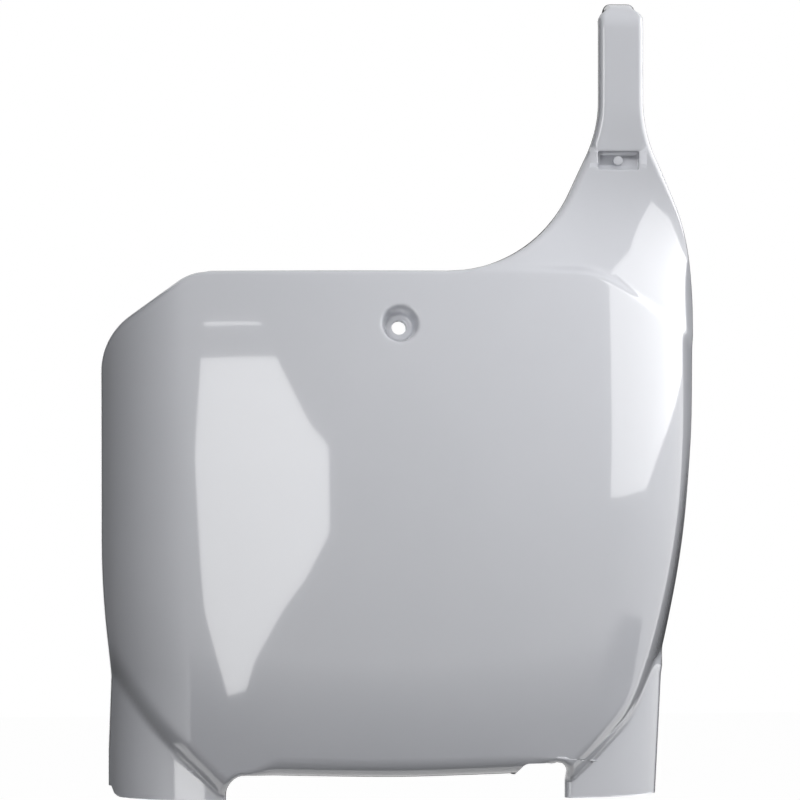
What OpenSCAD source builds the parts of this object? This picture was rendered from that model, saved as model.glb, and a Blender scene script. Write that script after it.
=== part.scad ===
// Racing number board: one injection moulded shell
// Front faces -Y, X to the right, Z up, millimetres
// Origin: centre of the stem bolt hole on the back face of its seat

/* [Shell] */
// Wall thickness of the moulding
wall = 2.6; // [2.4:0.1:2.9]
// Sideways bow of the front, as a radius
crown_r = 280; // [240:10:400]
// Upright bow of the front, as a radius
bow_r = 470; // [420:10:700]
// Depth of the bow's foremost point below the bolt
bow_z = 100; // [80:5:120]
// Width of the band in which each cheek turns back
cheek_w = 37; // [34:1:42]
// Radius of the turning cheek
cheek_r = 60; // [56:1:68]
// How far behind the bolt seat the cheeks reach
cheek_back_y = 50; // [46:1:60]

/* [Front outline] */
// Height of the top edge above the bolt
top_z = 26.2; // [24:0.2:28]
// Depth of the bottom edge below the bolt
bottom_z = 200.5; // [198:0.5:203]
// Half width on the left
left_w = 132.7; // [130:0.1:136]
// Half width on the right
right_w = 143; // [141:0.1:145]
// Where the upper left corner starts along the top edge
corner_x = 92.3; // [88:0.5:96]
// Height at which the upper left corner reaches the side
corner_z = -2.9; // [-6:0.1:0]
// Half width at the foot of the left cheek
left_foot_w = 128.1; // [127:0.1:129]
// Half width at the foot of the right cheek
right_foot_w = 124.9; // [123:0.1:127]
// Depth of the foot of the cheeks below the bolt
foot_z = 158; // [154:1:162]

/* [Fork legs] */
// Distance of the legs' front behind the bolt seat
leg_y = 8.5; // [8:0.5:10]
// Sideways bow of the legs, as a radius
leg_crown_r = 100; // [90:5:120]
// Width of the band in which each leg turns back
leg_turn_w = 26; // [24:1:28]
// Radius of that turn
leg_turn_r = 40; // [38:1:44]
// Depth of the legs' lower edge below the bolt
leg_z = 212.5; // [209:0.5:216]
// Inner edge of each leg from the middle
leg_in_x = 77; // [76:0.5:79]
// Outer edge of the left leg from the middle
left_leg_w = 129.3; // [128:0.1:131]
// Outer edge of the right leg from the middle
right_leg_w = 121.7; // [120:0.1:123]
// Rounding of the left leg's outer lower corner
foot_r = 4.5; // [3:0.5:6]
// Sum of width and depth along the valley beside the left leg
valley_sum_l = 290.3; // [287:0.1:293]
// Sum of width and depth along the valley beside the right leg
valley_sum_r = 283.5; // [281:0.1:286]
// Radius of the left valley's bend towards the side
valley_bend_l = 37; // [30:1:50]
// Radius of the right valley's bend towards the side
valley_bend_r = 9; // [8:0.5:12]
// Width of the panel's roll down into the valley
valley_w = 8; // [6:0.5:10]
// Depth of the panel's roll down into the valley
valley_d = 6.5; // [5:0.5:8]

/* [Bottom notch] */
// Left end of the notch in the bottom edge
notch_x = 53; // [50:1:58]
// Height of the notch
notch_h = 5; // [3:0.5:6]

/* [Arm] */
// Depth of the step from the raised panel to the arm
step_d = 3.2; // [2:0.2:4]
// Width over which that step falls
step_w = 4.5; // [3.5:0.5:6]
// Left edge of the strap
strap_x = 94.4; // [93:0.1:96]
// Width of the strap
strap_w = 20.5; // [19:0.1:22]
// Height at which the arm has narrowed to the strap
strap_z = 112; // [111:1:116]
// Distance of the strap's front face behind the bolt seat
strap_y = 24; // [22:0.5:27]
// Radius of the arm's hollow on the left
arm_hollow_r = 66; // [60:1:70]
// Radius of the arm's shoulder on the right
arm_shoulder_r = 103; // [90:1:110]
// Radius of both necks below the strap
neck_r = 60; // [50:1:66]
// Lean of the arm's straight edges from upright, in degrees
arm_lean = 25.9; // [25:0.1:26.5]

/* [Strap hook] */
// Outer radius of the hook over the handlebar crossbar
hook_r = 12; // [11:0.5:14]
// Height of the hook's centre above the bolt
hook_z = 138; // [134:0.5:142]
// Length of the return behind the bar
return_l = 36; // [28:1:38]
// How much narrower the hook's tongue is on each side
tongue_in = 3.2; // [3:0.1:4]
// How far round the bar the strap keeps its full width, in degrees
tongue_start = 60; // [50:5:90]
// Depth of the strap's channel section
strap_d = 5; // [4.8:0.1:5.4]

/* [Bolt dimple] */
// Bore for the stem bolt
bolt_d = 6.6; // [6.4:0.1:7]
// Thickness of the seat under the bolt head
seat_t = 3; // [2.5:0.1:4]
// Depth of the dimple in front of the seat
dimple_h = 8; // [6:0.5:9]
// Diameter of the dimple's floor
dimple_floor_d = 11.7; // [11:0.1:13]
// Diameter of the dimple's mouth
dimple_mouth_d = 16.6; // [15.6:0.1:18]

/* [Peg pocket] */
// Width of the pocket for the peg
pocket_w = 19; // [17:0.2:20]
// Height of the pocket
pocket_h = 8.2; // [7.4:0.1:9]
// Depth of the pocket
pocket_d = 4; // [3:0.2:4.6]
// Middle of the pocket from the board's middle
pocket_x = 103.5; // [102:0.1:105]
// Middle of the pocket above the bolt
pocket_z = 77.7; // [75:0.5:80]
// Thickness of the pocket's floor and sides
pocket_t = 1.8; // [1.5:0.1:2.2]
// Diameter of the peg
peg_d = 4.4; // [4:0.1:5]
// Height of the peg above the pocket's floor
peg_h = 3; // [2:0.2:3.6]

/* [Rolled edges] */
// Radius of the top edge and of the arm's edges
edge_r = 3; // [2.9:0.1:3.6]
// Radius of the cheeks' back edges
side_r = 12; // [9:0.5:14]
// Radius of the lip along the bottom
lip_r = 11; // [9:0.5:12]
// Length over which the lip runs out at each end
lip_run = 14; // [12:1:18]
// Return of the top edge behind its roll
top_return = 7; // [4:0.5:10]
// Return of the bottom lip behind its roll
lip_return = 8; // [5:0.5:12]
// Return of the arm's edges behind their roll
arm_return = 2; // [1.6:0.1:2.4]

/* [Hidden] */
$fn = 96;
tone = "gainsboro";

// Grid of the front, in cells
cols = 42;
rows = 32;
arm_col = 17;
arm_rows = 18;
leg_rows = 6;
leg_col_l = 10;
leg_col_r = 33;
notch_col = 28;
roll_steps = 4;
fillet_steps = 10;
probe = 0.05;

// Front surface at the bolt, with the dimple square to it
lean = atan(bow_z / bow_r);
mouth_y = -(seat_t + dimple_h) * cos(lean);
mouth_z = (seat_t + dimple_h) * sin(lean);
front_y = mouth_y - bow(mouth_z) + bow(0);

function unit(v) = v / norm(v);
function mix(a, b, t) = a + (b - a) * t;
function clamp(t) = min(1, max(0, t));
function ease(a, b, t) = let(s = clamp((t - a) / (b - a))) s * s * (3 - 2 * s);
function soft_min(a, b, k) = let(h = clamp(0.5 + (b - a) / (2 * k))) mix(b, a, h) - k * h * (1 - h);
function soft_max(a, b, k) = -soft_min(-a, -b, k);

// Corner of a path, rounded by an arc
function fillet(a, b, c) =
    let(
        p = [b[0], b[1]],
        u = unit([a[0], a[1]] - p),
        v = unit([c[0], c[1]] - p),
        half = acos(u * v) / 2,
        centre = p + unit(u + v) * b[2] / sin(half),
        s = p + u * b[2] / tan(half) - centre,
        turn = (180 - 2 * half) * sign(s[1] * u[0] - s[0] * u[1])
    )
    [for (i = [0:fillet_steps]) let(w = turn * i / fillet_steps)
        centre + [s[0] * cos(w) - s[1] * sin(w), s[0] * sin(w) + s[1] * cos(w)]];
function rounded(path) = [
    [path[0][0], path[0][1]],
    for (i = [1:len(path) - 2]) each fillet(path[i - 1], path[i], path[i + 1]),
    [path[len(path) - 1][0], path[len(path) - 1][1]]
];
function tail(path) = [for (i = [1:len(path) - 1]) path[i]];
function by_height(path) = [for (p = path) [p[1], p[0]]];

// Left side from the top edge to the leg's lower edge
corner_r = 25;
shoulder_r = 31;
side_top_z = -20;
side_bend_r = 400;
left_bend_z = -118;
left_foot_r = 2;
left_leg_z = -192;
leg_bend_r = 60;
left_edge = by_height(tail(rounded([
    [0, top_z],
    [-corner_x, top_z, corner_r],
    [-left_w, corner_z, shoulder_r],
    [-left_w, left_bend_z, side_bend_r],
    [-left_foot_w, -foot_z, left_foot_r],
    [-left_leg_w, left_leg_z, leg_bend_r],
    [-left_leg_w, -leg_z]
])));

// Right side from the strap to the leg's lower edge
into_strap = 20;
lean_x = tan(arm_lean);
strap_r = strap_x + strap_w;
shoulder_z = 34;
neck_z = shoulder_z + (right_w - strap_r) / lean_x;
right_side_z = -45;
right_side_w = 140;
right_bend_z = -100;
right_bend_w = 135.8;
right_foot_r = 6;
right_edge = by_height(rounded([
    [strap_r, strap_z + into_strap],
    [strap_r, neck_z, neck_r],
    [right_w, shoulder_z, arm_shoulder_r],
    [right_side_w, right_side_z, side_bend_r],
    [right_bend_w, right_bend_z, side_bend_r],
    [right_foot_w, -foot_z, right_foot_r],
    [right_leg_w, -leg_z]
]));

// Left edge of the arm, from the board up to the strap
hollow_x = 62.9;
hollow_top_z = top_z + (strap_x - hollow_x) / lean_x;
arm_edge = by_height(tail(rounded([
    [0, top_z],
    [hollow_x, top_z, arm_hollow_r],
    [strap_x, hollow_top_z, neck_r],
    [strap_x, strap_z + into_strap]
])));
arm_x = hollow_x - arm_hollow_r * tan(45 - arm_lean / 2);

// Bottom edge between the legs, with its sag and notch
sag = 1;
sag_r = 900;
notch_r = 4;
notch_run = notch_h * 0.8;
bottom_edge = rounded([
    [-leg_in_x, -bottom_z],
    [0, -bottom_z - sag, sag_r],
    [notch_x, -bottom_z, notch_r],
    [notch_x + notch_run, -bottom_z + notch_h, notch_r],
    [leg_in_x, -bottom_z + notch_h]
]);
leg_hollow_r = 8.5;
notch_end_r = 5;
before_leg = 20;
inner_edge_l = by_height(tail(rounded([
    [-leg_in_x + before_leg, -bottom_z],
    [-leg_in_x, -bottom_z, leg_hollow_r],
    [-leg_in_x, -leg_z]
])));
inner_edge_r = by_height(tail(rounded([
    [leg_in_x - before_leg, -bottom_z + notch_h],
    [leg_in_x, -bottom_z + notch_h, notch_end_r],
    [leg_in_x, -leg_z]
])));

// Front surface: distance behind the bolt seat at a point of the front view
function bow(z) = pow(z + bow_z, 2) / (2 * bow_r);
function side_w(x, z) = x < 0
    ? -lookup(min(side_top_z, z), left_edge)
    : lookup(min(0, z), right_edge);
cheek_lean = 68;

// Bow of one radius that turns back more sharply, of another radius, from start outwards
function turned(x, start, bow_r, turn_r) =
    let(
        sine = start / bow_r,
        steepest = sin(cheek_lean),
        a = asin(min(steepest, sine + max(0, x - start) / turn_r)),
        on_bow = min(x, start),
        beyond = max(0, x - start - turn_r * (steepest - sine))
    )
    bow_r - sqrt(bow_r * bow_r - on_bow * on_bow)
        + turn_r * (sqrt(1 - sine * sine) - cos(a)) + beyond * tan(cheek_lean);
function cheek(x, w) = turned(x, w - cheek_w, crown_r, cheek_r);

// Past the crease of the raised panel, which ends at the arm
crease_x = 92.3;
crease_slope = 33.4;
crease_turn = 6;
crease_inset = 1;
crease_end_z = -30;
function beyond_crease(x, z) =
    let(
        line = (x - crease_x) * sin(crease_slope) + (z - top_z) * cos(crease_slope),
        top = z - top_z,
        side = x - right_w + crease_inset
    )
    soft_max(soft_max(line, top, crease_turn), side, crease_turn);
function on_arm(x, z) = x < 0 || z < crease_end_z ? 0 : ease(-1, step_w - 1, beyond_crease(x, z));

// Past the valley between panel and leg
valley_bend_x = 104;
function past_valley(x, z) =
    let(
        out = max(0, abs(x) - valley_bend_x),
        bend = x < 0 ? valley_bend_l : valley_bend_r,
        sum = abs(x) - z - (x < 0 ? valley_sum_l : valley_sum_r)
    )
    (sum + out * out / (2 * bend)) / norm([1, 1 + out / bend]);
function panel(x, z) =
    front_y - bow(0) + bow(z) + cheek(abs(x), side_w(x, z))
        + valley_d * pow(max(0, past_valley(x, z) + valley_w) / valley_w, 2);
arm_spread = 2;
arm_step_x = 50;
arm_bend_z = 15;
function arm(x, z) =
    mix(
        front_y - bow(0) + bow(z) + cheek(x, right_w + arm_spread)
            + step_d * ease(arm_step_x, arm_step_x + 40, x),
        strap_y,
        ease(arm_bend_z, strap_z - 10, z)
    );
leg_flat_x = 70;
leg_fall = 0.9;
leg_blend = 1.2;
leg_start_z = -foot_z + 15;
function leg(x, z) =
    leg_y + leg_fall * max(0, -past_valley(x, z) - 1)
        + turned(abs(x) - leg_flat_x, side_w(x, z) - leg_turn_w - leg_flat_x, leg_crown_r, leg_turn_r);
function front(x, z) =
    let(p = panel(x, z), a = on_arm(x, z))
    a > 0
        ? mix(p, arm(x, z), a)
        : z > leg_start_z ? p : soft_min(p, leg(x, z), leg_blend);
function slope(x, z) = [
    (front(x + probe, z) - front(x - probe, z)) / (2 * probe),
    (front(x, z + probe) - front(x, z - probe)) / (2 * probe)
];

// Heights of the rows, closer together near both ends
function spread(t) = t - 0.55 * sin(360 * t) / (2 * PI);
function row_z(i) = top_z - (top_z + bottom_z) * spread(i / rows);
function arm_z(a) = top_z + (strap_z - top_z) * pow(a / arm_rows, 1.2);
function leg_row_z(top, end, b) = mix(top, end, pow(b / leg_rows, 1.6));

// Places of the columns along the top and the bottom edge
top_start = -corner_x + corner_r * tan(atan((top_z - corner_z) / (left_w - corner_x)) / 2);
function top_x(j) = j <= arm_col
    ? mix(top_start, arm_x, j / arm_col)
    : mix(arm_x, right_w, (j - arm_col) / (cols - arm_col));
lip_start = -leg_in_x + leg_hollow_r;
lip_end = leg_in_x - notch_end_r;
function bottom_x(j) = lookup(j, [[leg_col_l, lip_start], [notch_col, notch_x - 2], [leg_col_r, lip_end]]);

// The outline as a strip of points, from the arm's upper right round to its upper left
// Each entry: [x, z, roll radius, plain return, share of the full return, cut off the roll]
fade_z = 60;
edge_return = 1;
cut_return = 0.3;
function right_entry(z) = [
    lookup(z, right_edge), z,
    mix(side_r, edge_r, ease(0, fade_z, z)), arm_return, 1 - ease(10, fade_z + 10, z), 0
];
function left_entry(z) =
    let(side = ease(top_z, side_top_z, z))
    [lookup(z, left_edge), z, mix(edge_r, side_r, side), top_return, side, 0];
function top_entry(x) = [x, top_z, edge_r, top_return, 0, 0];
function arm_entry(z) = [
    lookup(z, arm_edge), z, edge_r, mix(top_return, arm_return, ease(top_z, fade_z, z)), 0, 0
];
function inner_entry(edge, z) = [lookup(z, edge), z, edge_r, edge_return, 0, 0];
function lip_entry(x) =
    let(
        z = lookup(x, bottom_edge),
        run_out = ease(lip_end - lip_run, lip_end, x),
        full = ease(lip_start, lip_start + lip_run, x) * (1 - run_out),
        cut = max(0, z + bottom_z - notch_h * run_out),
        flange = mix(edge_return, lip_return, full)
    )
    [x, z, mix(edge_r, lip_r, full), mix(flange, cut_return, ease(0, 1, cut)), 0, cut];
function foot_entry(x) = [x, -leg_z, 0, 0, 0, 0];
loop = concat(
    [for (a = [arm_rows:-1:1]) right_entry(arm_z(a))],
    [for (i = [0:rows]) right_entry(row_z(i))],
    [for (b = [1:leg_rows]) right_entry(leg_row_z(-bottom_z, -leg_z, b))],
    [for (j = [cols - 1:-1:leg_col_r + 1])
        foot_entry(mix(leg_in_x, right_leg_w, (j - leg_col_r) / (cols - leg_col_r)))],
    [for (b = [leg_rows:-1:1]) inner_entry(inner_edge_r, leg_row_z(-bottom_z + notch_h, -leg_z, b))],
    [for (j = [leg_col_r:-1:leg_col_l]) lip_entry(bottom_x(j))],
    [for (b = [1:leg_rows]) inner_entry(inner_edge_l, leg_row_z(-bottom_z, -leg_z, b))],
    [for (j = [leg_col_l - 1:-1:1]) foot_entry(mix(-left_leg_w, -leg_in_x, j / leg_col_l))],
    [for (b = [leg_rows:-1:1]) left_entry(leg_row_z(-bottom_z, -leg_z + foot_r, b))],
    [for (i = [rows:-1:0]) left_entry(row_z(i))],
    [for (j = [1:arm_col]) top_entry(top_x(j))],
    [for (a = [1:arm_rows]) arm_entry(arm_z(a))]
);

// Numbers of the grid points
function body_i(i, j) = i * (cols + 1) + j;
arm_cols = cols - arm_col;
body_n = (rows + 1) * (cols + 1);
function arm_i(a, k) = a == 0 ? body_i(0, arm_col + k) : body_n + (a - 1) * (arm_cols + 1) + k;
arm_n = body_n + arm_rows * (arm_cols + 1);
function lleg_i(b, j) = b == 0 ? body_i(rows, j) : arm_n + (b - 1) * (leg_col_l + 1) + j;
lleg_n = arm_n + leg_rows * (leg_col_l + 1);
rleg_cols = cols - leg_col_r;
function rleg_i(b, k) = b == 0 ? body_i(rows, leg_col_r + k) : lleg_n + (b - 1) * (rleg_cols + 1) + k;
grid_n = lleg_n + leg_rows * (rleg_cols + 1);

// The same strip as numbers of grid points
loop_i = concat(
    [for (a = [arm_rows:-1:1]) arm_i(a, arm_cols)],
    [for (i = [0:rows]) body_i(i, cols)],
    [for (b = [1:leg_rows]) rleg_i(b, rleg_cols)],
    [for (k = [rleg_cols - 1:-1:0]) rleg_i(leg_rows, k)],
    [for (b = [leg_rows - 1:-1:1]) rleg_i(b, 0)],
    [for (j = [leg_col_r:-1:leg_col_l]) body_i(rows, j)],
    [for (b = [1:leg_rows - 1]) lleg_i(b, leg_col_l)],
    [for (j = [leg_col_l:-1:0]) lleg_i(leg_rows, j)],
    [for (b = [leg_rows - 1:-1:1]) lleg_i(b, 0)],
    [for (i = [rows:-1:0]) body_i(i, 0)],
    [for (j = [1:arm_col]) body_i(0, j)],
    [for (a = [1:arm_rows]) arm_i(a, 0)]
);
last = len(loop) - 1;
right_m = arm_rows;
rleg_m = right_m + rows;
rfoot_m = rleg_m + leg_rows;
rinner_m = rfoot_m + rleg_cols;
lip_m = rinner_m + leg_rows;
linner_m = lip_m + leg_col_r - leg_col_l;
lfoot_m = linner_m + leg_rows;
lleg_m = lfoot_m + leg_col_l;
left_m = lleg_m + leg_rows;
top_m = left_m + rows;
armleft_m = top_m + arm_col;

// The strip is open at the strap and at the foot of each leg
strips = [[0, rfoot_m], [rinner_m, lfoot_m], [lleg_m, last]];

// Outward direction of the outline in the front view
function place(m) = [loop[m][0], loop[m][1]];
function outward(m) =
    m == 0 || m == rfoot_m || m == lfoot_m ? [1, 0]
    : m == last || m == rinner_m || m == lleg_m ? [-1, 0]
    : m >= lip_m && m <= linner_m ? [0, -1]
    : let(t = place(m + 1) - place(m - 1)) unit([-t[1], t[0]]);
out = [for (m = [0:last]) outward(m)];

// Where the roll starts and how far it turns
roll_r = [for (e = loop) e[2]];
start_a = [for (m = [0:last])
    let(p = place(m) - out[m] * roll_r[m] * 0.3)
    min(80, max(0, atan(slope(p[0], p[1]) * out[m])))];
end_a = [for (m = [0:last]) asin(1 - loop[m][5] / max(1, roll_r[m]))];
inset = [for (m = [0:last]) place(m) - out[m] * roll_r[m] * (sin(end_a[m]) - sin(start_a[m]))];
inset_y = [for (p = inset) front(p[0], p[1])];
return_d = [for (m = [0:last])
    let(to_back = cheek_back_y - inset_y[m] - roll_r[m] * (cos(start_a[m]) - cos(end_a[m])))
    mix(loop[m][3], soft_max(3, to_back, 6), loop[m][4])];

// Grids of the front view, filled in between their four edges
function share(row) = let(n = len(row) - 1)
    [for (p = row) (p[0] - row[0][0]) / (row[n][0] - row[0][0])];
function patch(first, end, left, right) =
    let(n = len(first) - 1, ni = len(left) - 1, uf = share(first), ue = share(end))
    [for (i = [0:ni]) let(v = i / ni) each
        [for (j = [0:n]) let(u = mix(uf[j], ue[j], v))
            mix(left[i], right[i], u)
            + (1 - v) * (first[j] - mix(first[0], first[n], uf[j]))
            + v * (end[j] - mix(end[0], end[n], ue[j]))]];
function line(a, b, n) = [for (k = [0:n]) mix(a, b, k / n)];
function round_foot(row) = [for (p = row)
    let(off = foot_r - min(foot_r, p[0] - row[0][0]))
    [p[0], -leg_z + foot_r - sqrt(foot_r * foot_r - off * off)]];
function after(list, n) = [for (k = [n:len(list) - 1]) list[k]];

top_row = concat(
    [for (j = [0:arm_col]) inset[top_m + j]],
    after(line(inset[armleft_m], inset[right_m], arm_cols), 1)
);
bottom_row = concat(
    line(inset[left_m], inset[linner_m], leg_col_l),
    [for (j = [leg_col_l + 1:leg_col_r - 1]) inset[lip_m + leg_col_r - j]],
    line(inset[lip_m], inset[rleg_m], rleg_cols)
);
body_grid = patch(
    top_row, bottom_row,
    [for (i = [0:rows]) inset[top_m - i]],
    [for (i = [0:rows]) inset[right_m + i]]
);
arm_grid = patch(
    after(top_row, arm_col), line(inset[last], inset[0], arm_cols),
    [for (a = [0:arm_rows]) inset[armleft_m + a]],
    [for (a = [0:arm_rows]) inset[right_m - a]]
);
lleg_grid = patch(
    [for (j = [0:leg_col_l]) bottom_row[j]],
    round_foot(line(inset[lleg_m], inset[lfoot_m], leg_col_l)),
    [for (b = [0:leg_rows]) inset[left_m - b]],
    [for (b = [0:leg_rows]) inset[linner_m + b]]
);
rleg_grid = patch(
    after(bottom_row, leg_col_r),
    line(inset[rinner_m], inset[rfoot_m], rleg_cols),
    [for (b = [0:leg_rows]) inset[lip_m - b]],
    [for (b = [0:leg_rows]) inset[rleg_m + b]]
);
plan = concat(
    body_grid,
    after(arm_grid, arm_cols + 1),
    after(lleg_grid, leg_col_l + 1),
    after(rleg_grid, rleg_cols + 1)
);

// Outer points: the grid, then the rings of the roll, then the return
function roll_point(m, a, d) =
    let(
        p = inset[m] + out[m] * (roll_r[m] * (sin(a) - sin(start_a[m])) + d * cos(a)),
        y = inset_y[m] + roll_r[m] * (cos(start_a[m]) - cos(a)) + d * sin(a)
    )
    [p[0], y, p[1]];
function inward(m, a) = [-out[m][0] * sin(a), cos(a), -out[m][1] * sin(a)];
outer = concat(
    [for (p = plan) [p[0], front(p[0], p[1]), p[1]]],
    [for (k = [1:roll_steps]) each [for (m = [0:last])
        roll_point(m, mix(start_a[m], end_a[m], k / roll_steps), 0)]],
    [for (m = [0:last]) roll_point(m, end_a[m], return_d[m])]
);
inner = concat(
    [for (p = plan) let(s = slope(p[0], p[1]))
        [p[0], front(p[0], p[1]), p[1]] + wall * unit([-s[0], 1, -s[1]])],
    [for (k = [1:roll_steps]) each [for (m = [0:last])
        let(a = mix(start_a[m], end_a[m], k / roll_steps))
        roll_point(m, a, 0) + wall * inward(m, a)]],
    [for (m = [0:last]) roll_point(m, end_a[m], return_d[m]) + wall * inward(m, end_a[m])]
);
side_n = len(outer);
function strip_i(m, k) = k == 0 ? loop_i[m] : grid_n + (k - 1) * (last + 1) + m;

quads = concat(
    [for (i = [0:rows - 1]) each [for (j = [0:cols - 1])
        [body_i(i, j), body_i(i, j + 1), body_i(i + 1, j + 1), body_i(i + 1, j)]]],
    [for (a = [0:arm_rows - 1]) each [for (k = [0:arm_cols - 1])
        [arm_i(a, k), arm_i(a + 1, k), arm_i(a + 1, k + 1), arm_i(a, k + 1)]]],
    [for (b = [0:leg_rows - 1]) each [for (j = [0:leg_col_l - 1])
        [lleg_i(b, j), lleg_i(b, j + 1), lleg_i(b + 1, j + 1), lleg_i(b + 1, j)]]],
    [for (b = [0:leg_rows - 1]) each [for (k = [0:rleg_cols - 1])
        [rleg_i(b, k), rleg_i(b, k + 1), rleg_i(b + 1, k + 1), rleg_i(b + 1, k)]]],
    [for (k = [0:roll_steps]) each [for (s = strips) each [for (m = [s[0]:s[1] - 1])
        [strip_i(m, k), strip_i(m, k + 1), strip_i(m + 1, k + 1), strip_i(m + 1, k)]]]]
);
rim_k = roll_steps + 1;
function chain(start, row, end) = concat(
    [for (k = [rim_k:-1:1]) strip_i(start, k)],
    row,
    [for (k = [1:rim_k]) strip_i(end, k)]
);
ends = [
    chain(0, [for (k = [arm_cols:-1:0]) arm_i(arm_rows, k)], last),
    chain(rinner_m, [for (m = [rinner_m:-1:rfoot_m]) loop_i[m]], rfoot_m),
    chain(lleg_m, [for (m = [lleg_m:-1:lfoot_m]) loop_i[m]], lfoot_m)
];
faces = concat(
    quads,
    [for (q = quads) [for (v = [3:-1:0]) q[v] + side_n]],
    [for (s = strips) each [for (m = [s[0]:s[1] - 1])
        [strip_i(m + 1, rim_k), strip_i(m, rim_k), strip_i(m, rim_k) + side_n, strip_i(m + 1, rim_k) + side_n]]],
    [for (e = ends) each [for (c = [0:len(e) - 2]) [e[c], e[c + 1], e[c + 1] + side_n, e[c] + side_n]]]
);
function split(q) = [[q[0], q[1], q[2]], [q[0], q[2], q[3]]];

// Shell with its rolled edges
module shell() {
    polyhedron(points = concat(outer, inner), faces = [for (q = faces) each split(q)], convexity = 10);
}

// Channel section of the strap, its face towards the front
module strap_section(w) {
    difference() {
        union() {
            translate([edge_r, 0]) square([w - 2 * edge_r, strap_d]);
            translate([0, edge_r]) square([w, strap_d - edge_r]);
            for (x = [edge_r, w - edge_r]) translate([x, edge_r]) circle(edge_r);
        }
        translate([wall, wall]) square([w - 2 * wall, strap_d]);
    }
}

module strap_and_hook() {
    back_y = strap_y + 2 * hook_r;
    tongue_w = strap_w - 2 * tongue_in;
    translate([strap_x, strap_y, strap_z]) linear_extrude(hook_z - strap_z) strap_section(strap_w);
    translate([strap_r, strap_y + hook_r, hook_z]) rotate([90, 0, -90])
        rotate_extrude(angle = tongue_start) translate([hook_r, 0]) rotate(90) strap_section(strap_w);
    translate([strap_r - tongue_in, strap_y + hook_r, hook_z]) rotate([90, 0, -90])
        rotate_extrude(angle = 180) translate([hook_r, 0]) rotate(90) strap_section(tongue_w);
    translate([strap_x + tongue_in, back_y, hook_z - return_l]) mirror([0, 1, 0])
        linear_extrude(return_l) strap_section(tongue_w);
}

// Boss and funnel of the dimple, along the bolt's axis
module along_bolt() {
    rotate([90 - lean, 0, 0]) children();
}
funnel_slope = (dimple_mouth_d - dimple_floor_d) / 2 / dimple_h;
boss_h = seat_t + dimple_h - 1;
module dimple_boss() {
    floor_r = dimple_floor_d / 2 + wall;
    along_bolt() cylinder(r1 = floor_r, r2 = floor_r + funnel_slope * (boss_h - seat_t), h = boss_h);
}
module dimple_cut() {
    over = 3;
    along_bolt() {
        translate([0, 0, seat_t]) cylinder(
            r1 = dimple_floor_d / 2,
            r2 = dimple_mouth_d / 2 + funnel_slope * over,
            h = dimple_h + over
        );
        translate([0, 0, -1]) cylinder(d = bolt_d, h = seat_t + 2);
    }
}

// Pocket in the arm with its peg
pocket_y = front(pocket_x, pocket_z);
module pocket_box() {
    w = pocket_w + 2 * pocket_t;
    h = pocket_h + 2 * pocket_t;
    translate([pocket_x - w / 2, pocket_y + wall / 2, pocket_z - h / 2])
        cube([w, pocket_d + pocket_t - wall / 2, h]);
}
module pocket_cut() {
    translate([pocket_x - pocket_w / 2, pocket_y - 5, pocket_z - pocket_h / 2])
        cube([pocket_w, pocket_d + 5, pocket_h]);
}
module peg() {
    translate([pocket_x, pocket_y + pocket_d + pocket_t / 2, pocket_z])
        rotate([90, 0, 0]) cylinder(d = peg_d, h = peg_h + pocket_t / 2);
}

module number_board() {
    color(tone) {
        difference() {
            union() {
                shell();
                strap_and_hook();
                dimple_boss();
                pocket_box();
            }
            dimple_cut();
            pocket_cut();
        }
        peg();
    }
}

number_board();
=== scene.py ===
import math

import bmesh
import bpy
import numpy as np
from mathutils import Matrix, Vector


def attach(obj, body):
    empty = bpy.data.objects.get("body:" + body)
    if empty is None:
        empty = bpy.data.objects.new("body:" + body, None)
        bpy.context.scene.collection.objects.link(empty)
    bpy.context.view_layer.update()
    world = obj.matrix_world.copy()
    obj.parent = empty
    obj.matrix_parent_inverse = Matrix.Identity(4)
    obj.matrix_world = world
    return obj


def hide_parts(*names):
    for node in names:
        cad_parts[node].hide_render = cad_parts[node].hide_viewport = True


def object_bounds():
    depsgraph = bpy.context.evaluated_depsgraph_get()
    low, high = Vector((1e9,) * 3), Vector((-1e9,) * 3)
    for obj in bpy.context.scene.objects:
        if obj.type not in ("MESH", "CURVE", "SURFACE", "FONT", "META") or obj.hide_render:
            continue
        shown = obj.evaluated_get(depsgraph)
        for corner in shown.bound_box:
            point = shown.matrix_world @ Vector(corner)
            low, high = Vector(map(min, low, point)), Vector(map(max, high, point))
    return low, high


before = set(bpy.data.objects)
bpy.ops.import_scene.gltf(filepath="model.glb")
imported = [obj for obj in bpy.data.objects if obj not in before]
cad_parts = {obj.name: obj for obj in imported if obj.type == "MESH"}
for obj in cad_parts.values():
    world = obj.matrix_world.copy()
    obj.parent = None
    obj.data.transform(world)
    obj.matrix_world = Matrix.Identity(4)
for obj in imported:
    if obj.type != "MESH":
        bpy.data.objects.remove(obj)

# Racing number board: one glossy moulded shell, in metres
# Front faces -Y, X to the right, Z up, origin at the stem bolt hole as in the CAD

# Shell
WALL = 0.0026
CROWN_R = 0.280
BOW_R = 0.470
BOW_Z = 0.100
CHEEK_W = 0.037
CHEEK_R = 0.060
CHEEK_BACK_Y = 0.050
CHEEK_LEAN = math.radians(68)

# Front outline
TOP_Z = 0.0262
BOTTOM_Z = 0.2005
LEFT_W = 0.1327
RIGHT_W = 0.143
CORNER_X = 0.0923
CORNER_Z = -0.0029
CORNER_R = 0.025
SHOULDER_R = 0.031
SIDE_TOP_Z = -0.020
SIDE_BEND_R = 0.400
LEFT_BEND_Z = -0.118
LEFT_FOOT_W = 0.1281
LEFT_FOOT_R = 0.002
RIGHT_SIDE_Z = -0.045
RIGHT_SIDE_W = 0.140
RIGHT_BEND_Z = -0.100
RIGHT_BEND_W = 0.1358
RIGHT_FOOT_W = 0.1249
RIGHT_FOOT_R = 0.006
FOOT_Z = 0.158

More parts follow.
